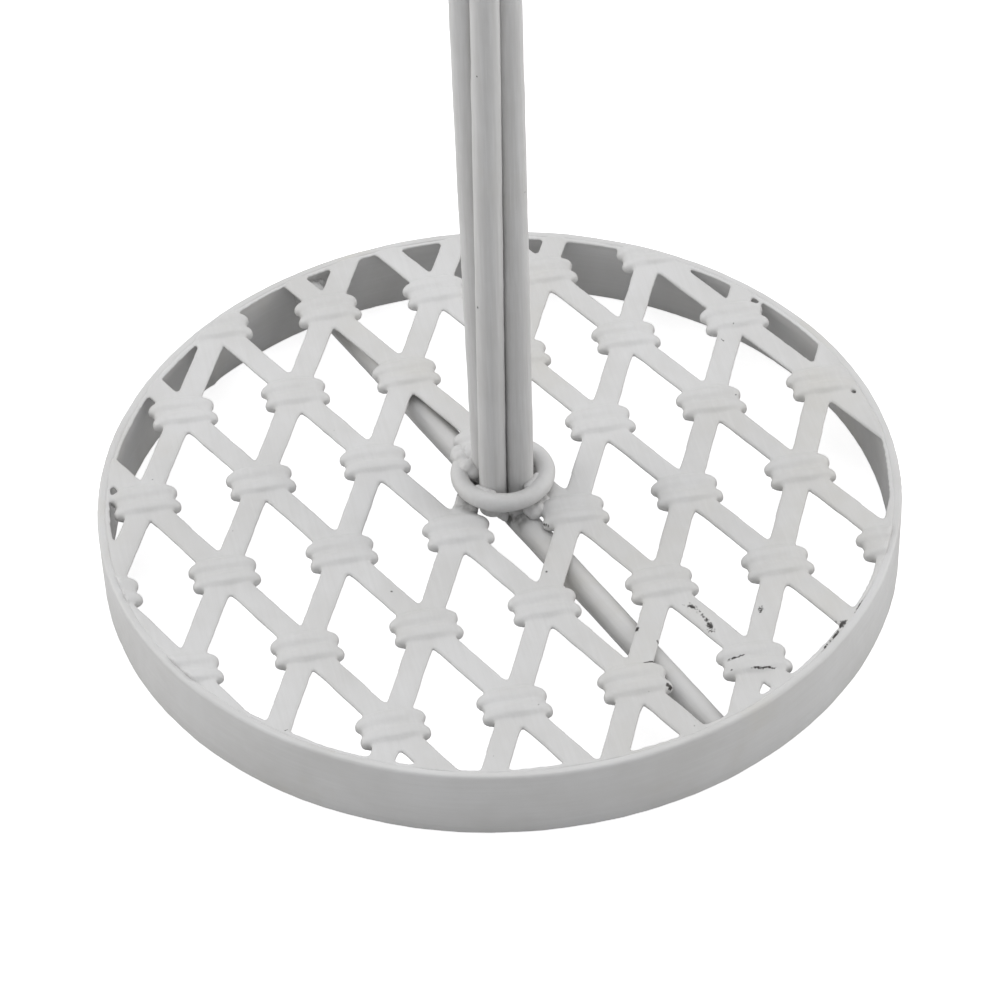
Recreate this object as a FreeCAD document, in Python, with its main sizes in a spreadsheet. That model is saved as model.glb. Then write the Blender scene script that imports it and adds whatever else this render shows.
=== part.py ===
"""Umbrella stand: a welded iron stand with a round lattice foot.

A hoop of flat band stands on the floor and holds a diamond lattice whose crossings are
bound like cane.  A round crossbar runs under the lattice.  Four round rods rise from the
crossbar as one slowly twisted stem, pass through a collar on the lattice and another
near the top, and part there to carry the hoop that the umbrellas lean on.

The origin is the middle of the floor face of the foot.  X runs along the short diagonal
of the lattice, Y along the long one, Z up.  Sizes are in millimetres and degrees.
"""
import FreeCAD, Part
import math
import os

import Sketcher
from FreeCAD import Placement, Rotation, Vector

DRIVING_SIZES = {
    # foot
    "rim_diameter": 260, "band_width": 25, "band_thickness": 3, "band_edge_round": 0.9,
    # lattice, flush with the top edge of the rim
    "lattice_side": 43.9, "lattice_half_angle": 25.56, "lattice_bar": 8, "lattice_thickness": 3.5,
    "lattice_corner_round": 2, "knot_x": 1.4, "knot_y": 21.7,
    "binding_length": 21, "binding_width": 14, "binding_round": 3, "binding_rise": 1,
    # crossbar and stem
    "crossbar_diameter": 9, "crossbar_angle": -71.3, "stem_x": 1.5,
    "rod_diameter": 8.8, "rod_spacing": 9, "foot_angle": 45, "stem_twist": 60,
    "rod_foot_height": 18, "rod_bend_start": 400, "rod_bend_end": 575,
    # collars
    "collar_tube": 6, "collar_inner_diameter": 22, "upper_collar_height": 394,
    # top hoop
    "hoop_diameter": 230, "stand_height": 600, "rod_end_below_top": 3,
    # welds
    "end_weld_leg": 2.5, "foot_bead": 3, "collar_bead": 2.6, "hoop_bead": 2.4,
}
ROD_COUNT = 4
PATTERN_COLUMNS = 8      # lattice cells across, more than the rim takes in
PATTERN_ROWS = 5         # and along
TWIST_STATIONS = 7       # points that carry the slow twist of each rod
WELD_GAP = 0.05          # left between a tack and the slightly leaning rod that it holds
HOOP_WELD_SETBACK = 3    # from each end of the joint to the bead
HOOP_WELD_SPREAD = 0.38  # of the rod's diameter, from its middle to the bead's axis

doc = FreeCAD.newDocument("umbrella_stand")
sheet = doc.addObject("Spreadsheet::Sheet", "Sizes")


def fill_sheet():
    """Write one row for each driving size, and below them the sizes worked out from these."""
    derived = {
        "rim_inner_radius": "rim_diameter / 2 - band_thickness",
        "hoop_inner_radius": "hoop_diameter / 2 - band_thickness",
        "short_diagonal": "2 * lattice_side * sin(lattice_half_angle * 1deg)",
        "long_diagonal": "2 * lattice_side * cos(lattice_half_angle * 1deg)",
        "lattice_bottom": "band_width - lattice_thickness",
        "collar_radius": "(collar_inner_diameter + collar_tube) / 2",
        "crossbar_height": "band_width - lattice_thickness - crossbar_diameter / 2",
        "lower_collar_height": "band_width + binding_rise + collar_tube / 2",
    }
    row = 1
    for word, value in DRIVING_SIZES.items():
        sheet.set("A%d" % row, word)
        sheet.set("B%d" % row, str(value))
        sheet.setAlias("B%d" % row, word)
        row += 1
    for word, formula in derived.items():
        sheet.set("A%d" % row, word)
        sheet.set("B%d" % row, "=" + formula)
        sheet.setAlias("B%d" % row, word)
        row += 1
    doc.recompute()


def size(word):
    """Return one size from the sheet as a plain number."""
    return float(sheet.get(word))


def origin_plane(body, role):
    """Return the body's own origin plane of that role."""
    return next(f for f in body.Origin.OriginFeatures if f.Role == role)


def new_sketch(body, name, role, offset_x="0", offset_y="0", offset_z="0"):
    """Add a sketch on one of the body's origin planes, moved by three sheet expressions."""
    sketch = body.newObject("Sketcher::SketchObject", name)
    sketch.AttachmentSupport = [(origin_plane(body, role), "")]
    sketch.MapMode = "FlatFace"
    for axis, expression in zip("xyz", (offset_x, offset_y, offset_z)):
        if expression != "0":
            sketch.setExpression(".AttachmentOffset.Base." + axis, expression)
    return sketch


def drive(sketch, kind, *arguments, formula):
    """Add one measured constraint to a sketch and bind it to the sheet."""
    index = sketch.addConstraint(Sketcher.Constraint(kind, *arguments))
    sketch.setExpression("Constraints[%d]" % index, formula)


# ---- flat band rolled into a hoop: the foot's rim and the top hoop ------------------------

def band_hoop(label, radius, top):
    """Revolve the band's section about Z and ease its four long edges."""
    body = doc.addObject("PartDesign::Body", label)
    sketch = new_sketch(body, label + "_section", "XZ_Plane")
    width, thickness = size("band_width"), size("band_thickness")
    outer, high = size("rim_diameter") / 2, size("band_width")
    corners = [
        Vector(outer - thickness, high - width, 0),
        Vector(outer, high - width, 0),
        Vector(outer, high, 0),
        Vector(outer - thickness, high, 0),
    ]
    for start, end in zip(corners, corners[1:] + corners[:1]):
        sketch.addGeometry(Part.LineSegment(start, end))
    for side in range(4):
        sketch.addConstraint(Sketcher.Constraint("Coincident", side, 2, (side + 1) % 4, 1))
    sketch.addConstraint(Sketcher.Constraint("Horizontal", 0))
    sketch.addConstraint(Sketcher.Constraint("Vertical", 1))
    sketch.addConstraint(Sketcher.Constraint("Horizontal", 2))
    sketch.addConstraint(Sketcher.Constraint("Vertical", 3))
    drive(sketch, "DistanceX", 0, 1, 0, 2, 1.0, formula="Sizes.band_thickness")
    drive(sketch, "DistanceY", 1, 1, 1, 2, 1.0, formula="Sizes.band_width")
    drive(sketch, "DistanceX", -1, 1, 1, 2, 1.0, formula=radius)
    drive(sketch, "DistanceY", -1, 1, 1, 2, 1.0, formula=top)
    turned = body.newObject("PartDesign::Revolution", label + "_turned")
    turned.Profile = sketch
    turned.ReferenceAxis = (sketch, ["V_Axis"])
    turned.Angle = 360
    doc.recompute()
    eased = body.newObject("PartDesign::Fillet", label + "_eased")
    edges = ["Edge%d" % (n + 1) for n, e in enumerate(turned.Shape.Edges) if is_ring(e)]
    eased.Base = (turned, edges)
    eased.setExpression("Radius", "Sizes.band_edge_round")
    return body


def is_ring(edge):
    """Tell a full circle from a seam line."""
    return isinstance(edge.Curve, Part.Circle)


# ---- lattice: one flat casting, diamonds open, every crossing bound -----------------------

def round_diamond(sketch, across, along, reach_across, reach_along):
    """Draw a diamond with rounded corners about a point that two expressions give.

    The four corner arcs are centred on the diamond's axes, at the given reach from its middle.
    """
    half_angle = math.radians(size("lattice_half_angle"))
    radius = size("lattice_corner_round")
    middle = Vector(size_of(across), size_of(along), 0)
    reach = (size_of(reach_across), size_of(reach_along))
    first = sketch.GeometryCount
    normals = [half_angle, math.pi - half_angle, math.pi + half_angle, -half_angle]
    spokes = [Vector(reach[0], 0, 0), Vector(0, reach[1], 0)]
    spokes += [-spoke for spoke in spokes]
    for corner, spoke in enumerate(spokes):
        start, end = normals[corner - 1], normals[corner]
        if end < start:
            end += 2 * math.pi
        circle = Part.Circle(middle + spoke, Vector(0, 0, 1), radius)
        sketch.addGeometry(Part.ArcOfCircle(circle, start, end))
    for corner in range(4):
        arc, following = sketch.Geometry[first + corner], sketch.Geometry[first + (corner + 1) % 4]
        sketch.addGeometry(Part.LineSegment(arc.EndPoint, following.StartPoint))
    for corner in range(4):
        arc, line, following = first + corner, first + 4 + corner, first + (corner + 1) % 4
        sketch.addConstraint(Sketcher.Constraint("Tangent", arc, 2, line, 1))
        sketch.addConstraint(Sketcher.Constraint("Tangent", line, 2, following, 1))
    drive(sketch, "Radius", first, radius, formula="Sizes.lattice_corner_round")
    for corner in range(1, 4):
        sketch.addConstraint(Sketcher.Constraint("Equal", first, first + corner))
    places = [
        ("%s + %s" % (across, reach_across), along),
        (across, "%s + %s" % (along, reach_along)),
        ("%s - (%s)" % (across, reach_across), along),
        (across, "%s - (%s)" % (along, reach_along)),
    ]
    for corner, (place_x, place_y) in enumerate(places):
        pin_centre(sketch, first + corner, place_x, place_y)


def pin_centre(sketch, geometry, place_x, place_y):
    """Hold a circle's or an arc's centre at a place given by two sheet expressions."""
    for kind, place in (("DistanceX", place_x), ("DistanceY", place_y)):
        value = size_of(place)
        if abs(value) < 1e-9:
            axis = -2 if kind == "DistanceX" else -1
            sketch.addConstraint(Sketcher.Constraint("PointOnObject", geometry, 3, axis))
        else:
            drive(sketch, kind, -1, 1, geometry, 3, value, formula=place)


def size_of(expression):
    """Work out a sheet expression such as 'Sizes.short_diagonal / 2' as a plain number."""
    value = sheet.evalExpression(expression.replace("Sizes.", ""))
    return float(getattr(value, "Value", value))


def round_box(sketch, across, along, length, width, corner):
    """Draw a rectangle with rounded corners about a point, all given by sheet expressions."""
    middle = Vector(size_of(across), size_of(along), 0)
    radius = size_of(corner)
    reach_x = size_of(length) / 2 - radius
    reach_y = size_of(width) / 2 - radius
    first = sketch.GeometryCount
    signs = [(1, 1), (-1, 1), (-1, -1), (1, -1)]
    for quarter, (sign_x, sign_y) in enumerate(signs):
        centre = middle + Vector(sign_x * reach_x, sign_y * reach_y, 0)
        start = quarter * math.pi / 2
        circle = Part.Circle(centre, Vector(0, 0, 1), radius)
        sketch.addGeometry(Part.ArcOfCircle(circle, start, start + math.pi / 2))
    for quarter in range(4):
        arc, following = sketch.Geometry[first + quarter], sketch.Geometry[first + (quarter + 1) % 4]
        sketch.addGeometry(Part.LineSegment(arc.EndPoint, following.StartPoint))
    for quarter in range(4):
        arc, line, following = first + quarter, first + 4 + quarter, first + (quarter + 1) % 4
        sketch.addConstraint(Sketcher.Constraint("Tangent", arc, 2, line, 1))
        sketch.addConstraint(Sketcher.Constraint("Tangent", line, 2, following, 1))
    drive(sketch, "Radius", first, radius, formula=corner)
    for quarter in range(1, 4):
        sketch.addConstraint(Sketcher.Constraint("Equal", first, first + quarter))
    for quarter, (sign_x, sign_y) in enumerate(signs):
        place_x = "%s + %d * (%s / 2 - %s)" % (across, sign_x, length, corner)
        place_y = "%s + %d * (%s / 2 - %s)" % (along, sign_y, width, corner)
        pin_centre(sketch, first + quarter, place_x, place_y)


def spread(body, feature, sketch):
    """Repeat a feature over the whole sheet of the lattice, in columns and rows."""
    pattern = body.newObject("PartDesign::LinearPattern", feature.Name + "_spread")
    pattern.Originals = [feature]
    pattern.Direction = (sketch, ["H_Axis"])
    pattern.Mode = "Spacing"
    pattern.setExpression("Offset", "Sizes.short_diagonal")
    pattern.Occurrences = PATTERN_COLUMNS
    pattern.Direction2 = (sketch, ["V_Axis"])
    pattern.Mode2 = "Spacing"
    pattern.setExpression("Offset2", "Sizes.long_diagonal")
    pattern.Occurrences2 = PATTERN_ROWS
    body.Tip = pattern
    doc.recompute()
    return pattern


def lattice_disc():
    """Open a plate in diamonds, raise the bindings, and trim it to the inside of the rim."""
    body = doc.addObject("PartDesign::Body", "lattice_disc")
    body.AllowCompound = True
    bottom = "Sizes.lattice_bottom"
    first_x = "Sizes.knot_x - %d * Sizes.short_diagonal" % (PATTERN_COLUMNS // 2)
    first_y = "Sizes.knot_y - %d * Sizes.long_diagonal" % (PATTERN_ROWS // 2)
    half_short, half_long = "Sizes.short_diagonal / 2", "Sizes.long_diagonal / 2"

    outline = new_sketch(body, "plate_outline", "XY_Plane", offset_z=bottom)
    outline.addGeometry(Part.Circle(Vector(), Vector(0, 0, 1), size("rim_diameter")))
    outline.addConstraint(Sketcher.Constraint("Coincident", 0, 3, -1, 1))
    drive(outline, "Radius", 0, size("rim_diameter"), formula="Sizes.rim_diameter")
    plate = body.newObject("PartDesign::Pad", "plate")
    plate.Profile = outline
    plate.setExpression("Length", "Sizes.lattice_thickness")

    diamonds = new_sketch(body, "diamonds", "XY_Plane", first_x, first_y, bottom)
    edge = "(Sizes.lattice_bar / 2 + Sizes.lattice_corner_round)"
    reach_across = "%s - %s / cos(Sizes.lattice_half_angle * 1deg)" % (half_short, edge)
    reach_along = "%s - %s / sin(Sizes.lattice_half_angle * 1deg)" % (half_long, edge)
    round_diamond(diamonds, half_short, "0", reach_across, reach_along)
    round_diamond(diamonds, "0", half_long, reach_across, reach_along)
    doc.recompute()
    opened = body.newObject("PartDesign::Pocket", "diamond_openings")
    opened.Profile = diamonds
    opened.Type = "ThroughAll"
    opened.Midplane = True
    doc.recompute()
    spread(body, opened, diamonds)

    bindings = new_sketch(body, "bindings", "XY_Plane", first_x, first_y, bottom)
    pad_sizes = ("Sizes.binding_length", "Sizes.binding_width", "Sizes.binding_round")
    for across, along in (("0", "0"), (half_short, half_long)):
        round_box(bindings, across, along, *pad_sizes)
    doc.recompute()
    bound = body.newObject("PartDesign::Pad", "bound_crossings")
    bound.Profile = bindings
    bound.setExpression("Length", "Sizes.lattice_thickness + Sizes.binding_rise")
    doc.recompute()
    spread(body, bound, bindings)

    stem_hole = new_sketch(body, "stem_hole", "XY_Plane")
    stem_hole.addGeometry(Part.Circle(Vector(size("stem_x"), 0, 0), Vector(0, 0, 1), size("collar_radius")))
    drive(stem_hole, "Radius", 0, size("collar_radius"), formula="Sizes.collar_inner_diameter / 2")
    pin_centre(stem_hole, 0, "Sizes.stem_x", "0")
    pierced = body.newObject("PartDesign::Pocket", "stem_way")
    pierced.Profile = stem_hole
    pierced.Type = "ThroughAll"
    pierced.Midplane = True

    waste = new_sketch(body, "waste_outside_rim", "XY_Plane")
    for radius in ("Sizes.rim_inner_radius", "3 * Sizes.rim_diameter"):
        ring = waste.addGeometry(Part.Circle(Vector(), Vector(0, 0, 1), size_of(radius)))
        waste.addConstraint(Sketcher.Constraint("Coincident", ring, 3, -1, 1))
        drive(waste, "Radius", ring, size_of(radius), formula=radius)
    trimmed = body.newObject("PartDesign::Pocket", "trimmed_round")
    trimmed.Profile = waste
    trimmed.Type = "ThroughAll"
    trimmed.Midplane = True
    body.Tip = trimmed
    doc.recompute()
    return body


# ---- crossbar ------------------------------------------------------------------------------

def crossbar():
    """Lay a round bar under the lattice, through the foot of the stem, from wall to wall."""
    bar = doc.addObject("Part::Cylinder", "crossbar_stock")
    bar.setExpression("Radius", "Sizes.crossbar_diameter / 2")
    bar.setExpression("Height", "Sizes.rim_diameter * 1.2")
    along = crossbar_direction()
    middle = Vector(size("stem_x"), 0, size("crossbar_height"))
    start = middle - along * (size_of("Sizes.rim_diameter * 1.2") / 2)
    bar.Placement = Placement(start, Rotation(Vector(0, 0, 1), along))
    room = doc.addObject("Part::Cylinder", "room_inside_rim")
    room.setExpression("Radius", "Sizes.rim_inner_radius")
    room.setExpression("Height", "Sizes.band_width")
    trimmed = doc.addObject("Part::MultiCommon", "crossbar")
    trimmed.Shapes = [bar, room]
    return trimmed


def crossbar_direction():
    """Return the unit vector along the crossbar."""
    angle = math.radians(size("crossbar_angle"))
    return Vector(math.cos(angle), math.sin(angle), 0)


# ---- stem: four rods, slowly twisted, parting at the top -----------------------------------

def stem_point(azimuth, radius, height):
    """Return a point given by its azimuth and distance from the stem's axis."""
    angle = math.radians(azimuth)
    return Vector(size("stem_x") + radius * math.cos(angle), radius * math.sin(angle), height)


def rod_spine(number):
    """Return the centre line of one rod: twisted run, two equal arcs outwards, upright end."""
    start_azimuth = size("foot_angle") + number * 360 / ROD_COUNT
    end_azimuth = start_azimuth + size("stem_twist")
    bundle_radius = size("rod_spacing") / math.sqrt(2)
    foot, parting = size("rod_foot_height"), size("rod_bend_start")
    stations = []
    for step in range(TWIST_STATIONS):
        part = step / (TWIST_STATIONS - 1)
        azimuth = start_azimuth + part * size("stem_twist")
        stations.append(stem_point(azimuth, bundle_radius, foot + part * (parting - foot)))
    upright = Vector(0, 0, 1)
    twisted = Part.BSplineCurve()
    twisted.interpolate(Points=stations, InitialTangent=upright, FinalTangent=upright)

    end_point, middle, quarter = rod_bend(end_azimuth, bundle_radius)
    lower_arc = Part.Arc(stations[-1], quarter, middle)
    upper_arc = Part.Arc(middle, stations[-1] + end_point - quarter, end_point)
    top = Vector(end_point.x, end_point.y, size("stand_height") - size("rod_end_below_top"))
    tail = Part.LineSegment(end_point, top)
    return Part.Wire([curve.toShape() for curve in (twisted, lower_arc, upper_arc, tail)])


def rod_bend(azimuth, bundle_radius):
    """Return the end, the middle and the middle of the lower arc of a rod's S-shaped bend.

    Both arcs have the same radius and meet the upright runs and each other tangentially.
    """
    outer_radius = rod_end_radius(azimuth)
    rise = size("rod_bend_end") - size("rod_bend_start")
    spread_out = outer_radius - bundle_radius
    turn = 2 * math.atan2(spread_out, rise)
    bend_radius = rise / (2 * math.sin(turn))
    quarter_out = bend_radius * (1 - math.cos(turn / 2))
    quarter_up = bend_radius * math.sin(turn / 2)
    start_height = size("rod_bend_start")
    end_point = stem_point(azimuth, outer_radius, size("rod_bend_end"))
    middle = stem_point(azimuth, bundle_radius + spread_out / 2, start_height + rise / 2)
    quarter = stem_point(azimuth, bundle_radius + quarter_out, start_height + quarter_up)
    return end_point, middle, quarter


def rod_end_radius(azimuth):
    """Return how far from the stem's axis a rod lies when it touches the inside of the hoop."""
    reach = size("hoop_inner_radius") - size("rod_diameter") / 2
    angle = math.radians(azimuth)
    aside = size("stem_x") * math.sin(angle)
    return math.sqrt(reach ** 2 - aside ** 2) - size("stem_x") * math.cos(angle)


def stem_rod(number, bar):
    """Sweep one rod along its centre line and cope its foot over the crossbar."""
    spine = rod_spine(number)
    start = spine.Edges[0]
    heading = start.tangentAt(start.FirstParameter)
    foot = start.valueAt(start.FirstParameter)
    section = Part.Wire(Part.Circle(foot, heading, size("rod_diameter") / 2).toShape())
    swept = spine.makePipeShell([section], True, False)
    rod = doc.addObject("Part::Feature", "stem_rod_%d" % (number + 1))
    rod.Shape = swept.cut(bar.Shape)
    return rod


# ---- collars -------------------------------------------------------------------------------

def collar(label, height):
    """Close a round wire into a ring about the stem at a height given by the sheet."""
    ring = doc.addObject("Part::Torus", label)
    ring.setExpression("Radius1", "Sizes.collar_radius")
    ring.setExpression("Radius2", "Sizes.collar_tube / 2")
    ring.setExpression(".Placement.Base.x", "Sizes.stem_x")
    ring.setExpression(".Placement.Base.z", height)
    return ring


# ---- welds ---------------------------------------------------------------------------------

def weld_node(label, beads, neighbours):
    """Keep what the beads fill beside the pieces that they join."""
    node = doc.addObject("Part::Feature", label)
    left = []
    for bead in beads:
        rest = bead
        for neighbour in neighbours:
            rest = rest.cut(neighbour.Shape)
        left.append(max(rest.Solids, key=lambda solid: solid.Volume))
    node.Shape = Part.Compound(left)
    return node


def crossbar_end_welds(bar, rim, lattice):
    """Flare a fillet of weld around each end of the crossbar, against the inside of the rim."""
    along = crossbar_direction()
    middle = Vector(size("stem_x"), 0, size("crossbar_height"))
    radius, leg = size("crossbar_diameter") / 2, size("end_weld_leg")
    room = Part.makeCylinder(size("rim_inner_radius"), size("band_width"))
    beads = []
    for way in (1, -1):
        heading = along * way
        aside = middle - heading * middle.dot(heading)
        reach = math.sqrt(size("rim_inner_radius") ** 2 - aside.x ** 2 - aside.y ** 2) - middle.dot(heading)
        start = middle + heading * (reach - 2 * leg)
        cone = Part.makeCone(radius, radius + 2 * leg, 4 * leg, start, heading)
        beads.append(cone.common(room))
    return weld_node("crossbar_end_welds", beads, [bar, rim, lattice])


def stem_foot_welds(bar):
    """Run a bead along both sides of the crossbar, under the flat feet of the rods."""
    along = crossbar_direction()
    sideways = Vector(-along.y, along.x, 0)
    bead, bar_radius = size("foot_bead"), size("crossbar_diameter") / 2
    length = size("rod_spacing") + size("rod_diameter")
    drop = size("rod_foot_height") - size("crossbar_height")
    half_width = math.sqrt(bar_radius ** 2 - drop ** 2)
    reach = size("rim_inner_radius")
    room = Part.makeBox(2 * reach, 2 * reach, size("rod_foot_height"), Vector(-reach, -reach, 0))
    beads = []
    for side in (1, -1):
        nook = Vector(size("stem_x"), 0, size("rod_foot_height")) + sideways * side * half_width
        start = nook - along * (length / 2)
        beads.append(Part.makeCylinder(bead, length, start, along).common(room))
    return weld_node("stem_foot_welds", beads, [bar])


def collar_welds(label, ring_height, ring):
    """Tack a collar to the rods: one bead in the nook above the ring, beside each rod."""
    foot, parting = size("rod_foot_height"), size("rod_bend_start")
    turned = size("stem_twist") * (ring_height - foot) / (parting - foot)
    bundle_radius = size("rod_spacing") / math.sqrt(2)
    room = size("rod_diameter") / 2 + WELD_GAP
    beads = []
    for number in range(ROD_COUNT):
        azimuth = size("foot_angle") + turned + number * 360 / ROD_COUNT
        nook = stem_point(azimuth, size("collar_inner_diameter") / 2, ring_height + size("collar_tube") / 4)
        rod_foot = stem_point(azimuth, bundle_radius, ring_height - size("collar_tube"))
        rod_place = Part.makeCylinder(room, 2 * size("collar_tube"), rod_foot)
        beads.append(Part.makeSphere(size("collar_bead"), nook).cut(rod_place))
    return weld_node(label, beads, [ring])


def hoop_welds(rods, hoop):
    """Run an upright bead down both sides of each rod, in the nook against the hoop."""
    beads = []
    low = size("stand_height") - size("band_width") + HOOP_WELD_SETBACK
    high = size("stand_height") - size("rod_end_below_top") - HOOP_WELD_SETBACK
    for number in range(ROD_COUNT):
        azimuth = size("foot_angle") + size("stem_twist") + number * 360 / ROD_COUNT
        touch = rod_end_radius(azimuth) + size("rod_diameter") / 2
        middle = stem_point(azimuth, touch, low)
        sideways = Vector(-math.sin(math.radians(azimuth)), math.cos(math.radians(azimuth)), 0)
        inwards = stem_point(azimuth, touch - size("hoop_bead") / 2, low) - middle
        for side in (1, -1):
            base = middle + inwards + sideways * (side * size("rod_diameter") * HOOP_WELD_SPREAD)
            beads.append(Part.makeCylinder(size("hoop_bead"), high - low, base))
    return weld_node("hoop_welds", beads, rods + [hoop])


# ---- assembly ------------------------------------------------------------------------------

def build():
    """Make every piece and return them in the order in which they are put together."""
    fill_sheet()
    rim = band_hoop("base_rim", "Sizes.rim_diameter / 2", "Sizes.band_width")
    lattice = lattice_disc()
    bar = crossbar()
    hoop = band_hoop("top_hoop", "Sizes.hoop_diameter / 2", "Sizes.stand_height")
    lower = collar("lower_collar", "Sizes.lower_collar_height")
    upper = collar("upper_collar", "Sizes.upper_collar_height")
    doc.recompute()
    rods = [stem_rod(number, bar) for number in range(ROD_COUNT)]
    end_welds = crossbar_end_welds(bar, rim, lattice)
    foot_welds = stem_foot_welds(bar)
    lower_welds = collar_welds("lower_collar_welds", size("lower_collar_height"), lower)
    upper_welds = collar_welds("upper_collar_welds", size("upper_collar_height"), upper)
    top_welds = hoop_welds(rods, hoop)
    doc.recompute()
    foot = [rim, lattice, bar, end_welds, foot_welds]
    return foot + rods + [lower, lower_welds, upper, upper_welds, hoop, top_welds]


def check(pieces):
    """Stop if any object failed to recompute or any piece is empty or broken."""
    for thing in doc.Objects:
        if "Invalid" in thing.State or "Error" in thing.State:
            raise RuntimeError("%s did not recompute: %s" % (thing.Name, thing.State))
    for piece in pieces:
        if piece.Shape.isNull() or not piece.Shape.isValid() or piece.Shape.Volume <= 0:
            raise RuntimeError("%s has no sound shape" % piece.Label)


def write(pieces):
    """Write each piece to its own STEP file, named by its label."""
    os.makedirs("parts", exist_ok=True)
    for piece in pieces:
        piece.Shape.exportStep("parts/%s.step" % piece.Label)
        box = piece.Shape.BoundBox
        print("%-20s %d solids %9.0f mm3  z %.2f to %.2f" % (
            piece.Label, len(piece.Shape.Solids), piece.Shape.Volume, box.ZMin, box.ZMax))


pieces = build()
check(pieces)
write(pieces)
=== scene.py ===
"""Umbrella stand: a welded iron stand on a round lattice foot, brushed over with off-white paint."""
import bmesh
import bpy
import math
from mathutils import Matrix, Vector, noise


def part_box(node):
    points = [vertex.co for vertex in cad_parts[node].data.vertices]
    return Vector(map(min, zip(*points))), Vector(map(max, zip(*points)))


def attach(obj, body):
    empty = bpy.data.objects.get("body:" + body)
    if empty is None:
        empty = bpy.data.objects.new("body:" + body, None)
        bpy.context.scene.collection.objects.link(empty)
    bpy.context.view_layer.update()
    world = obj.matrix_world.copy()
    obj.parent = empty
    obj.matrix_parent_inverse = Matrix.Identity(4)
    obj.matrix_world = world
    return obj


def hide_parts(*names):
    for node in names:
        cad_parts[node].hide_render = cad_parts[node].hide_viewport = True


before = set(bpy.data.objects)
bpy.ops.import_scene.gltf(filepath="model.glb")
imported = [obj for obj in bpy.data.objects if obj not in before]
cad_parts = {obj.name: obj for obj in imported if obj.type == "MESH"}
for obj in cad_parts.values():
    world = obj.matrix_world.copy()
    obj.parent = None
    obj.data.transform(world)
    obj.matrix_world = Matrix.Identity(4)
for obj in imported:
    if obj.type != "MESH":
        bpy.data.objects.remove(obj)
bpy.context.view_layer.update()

MM = 0.001
UP = Vector((0, 0, 1))


# ---- Foot rim --------------------------------------------------------------------------------
# A flat iron band, rolled on edge into a hoop and butt-welded at the back.  It stands on the
# floor on its lower edge.  Two coats of oil paint have rounded its edges, and the brush went
# round it, so the marks run along the band.

BAND_THICKNESS = 3 * MM
BAND_EDGE = 1.1 * MM            # how far the paint has rounded each long edge
BAND_STEPS = 420                # around a hoop
BAND_WOBBLE = 0.35 * MM         # out of round and out of flat, from rolling by hand
SEAM_WIDTH = 4 * MM             # the butt weld across the band
SEAM_RISE = 0.7 * MM

PAINT = (0.634, 0.631, 0.627, 1)
PAINT_SHADED = (0.575, 0.569, 0.558, 1)
# Paler paint: for pale brush streaks, and as painted highlight on crests and edges.
PALE_PAINT_AND_HIGHLIGHT = (0.705, 0.703, 0.700, 1)
# Painted shade in a grimy brown, laid in hollows and creases.
GRIMY_HOLLOW_SHADE = (0.300, 0.285, 0.250, 1)
STAIN = (0.520, 0.485, 0.385, 1)
BARE_IRON = (0.030, 0.026, 0.024, 1)
# Painted shade: near-black patches on the lattice and crossbar under the stem's collar, where shade falls.
UNDER_COLLAR_SHADE = (0.085, 0.082, 0.075, 1)
UNDER_COLLAR_SHADE_REACH = 18.5 * MM          # how far it spreads from the middle of the foot


def add(tree, kind, **settings):
    """Add one shader node; a setting is one of its sockets, or else one of its properties."""
    made = tree.nodes.new("ShaderNode" + kind)
    for word, value in settings.items():
        if isinstance(value, bpy.types.NodeSocket):
            tree.links.new(value, made.inputs[word])
        elif word in made.inputs:
            made.inputs[word].default_value = value
        else:
            setattr(made, word, value)
    return made


def spread_to(tree, value, low, high, to_low=0.0, to_high=1.0):
    """Stretch the part of a value between low and high to a new span, and hold it there."""
    made = add(tree, "MapRange", Value=value)
    for word, number in (("From Min", low), ("From Max", high), ("To Min", to_low), ("To Max", to_high)):
        made.inputs[word].default_value = number
    return made.outputs["Result"]


def lay_over(tree, under, over, share):
    """Mix the colour or socket 'over' onto 'under' by a share."""
    made = tree.nodes.new("ShaderNodeMix")
    made.data_type = "RGBA"
    for socket, value in ((made.inputs[0], share), (made.inputs[6], under), (made.inputs[7], over)):
        if isinstance(value, bpy.types.NodeSocket):
            tree.links.new(value, socket)
        else:
            socket.default_value = value
    return made.outputs[2]


def under_collar_shade_share(tree, place, most):
    """Return how much painted shade blackens the paint: in patches, near the middle of the foot under the
    collar.
    """
    own_axes = add(tree, "TexCoord").outputs["Object"]
    flat = add(tree, "Mapping", Vector=own_axes, Scale=(1, 1, 0)).outputs["Vector"]
    reach = add(tree, "VectorMath", operation="LENGTH")
    tree.links.new(flat, reach.inputs[0])
    near = spread_to(tree, reach.outputs["Value"], UNDER_COLLAR_SHADE_REACH, UNDER_COLLAR_SHADE_REACH * 0.76)
    cloud = add(tree, "TexNoise", Vector=place, Scale=230.0, Detail=3.0).outputs["Fac"]
    painted_shade = add(tree, "Math", operation="MULTIPLY", use_clamp=True)
    tree.links.new(near, painted_shade.inputs[0])
    tree.links.new(spread_to(tree, cloud, 0.40, 0.58, 0.0, most), painted_shade.inputs[1])
    return painted_shade.outputs[0]


def bared_share(tree, speck, grain, chipped):
    """Return where iron shows: pinholes and, on a chipped piece, knocks with ragged edges."""
    pinholes = spread_to(tree, speck, 0.815, 0.83)
    if not chipped:
        return pinholes
    worn = add(tree, "Attribute", attribute_name=chipped).outputs["Fac"]
    ragged = add(tree, "Math", operation="MULTIPLY_ADD")
    tree.links.new(grain, ragged.inputs[0])
    ragged.inputs[1].default_value = 1.15
    tree.links.new(worn, ragged.inputs[2])
    bare = add(tree, "Math", operation="MAXIMUM", use_clamp=True)
    tree.links.new(pinholes, bare.inputs[0])
    tree.links.new(spread_to(tree, ragged.outputs[0], 1.08, 1.24), bare.inputs[1])
    return bare.outputs[0]


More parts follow.
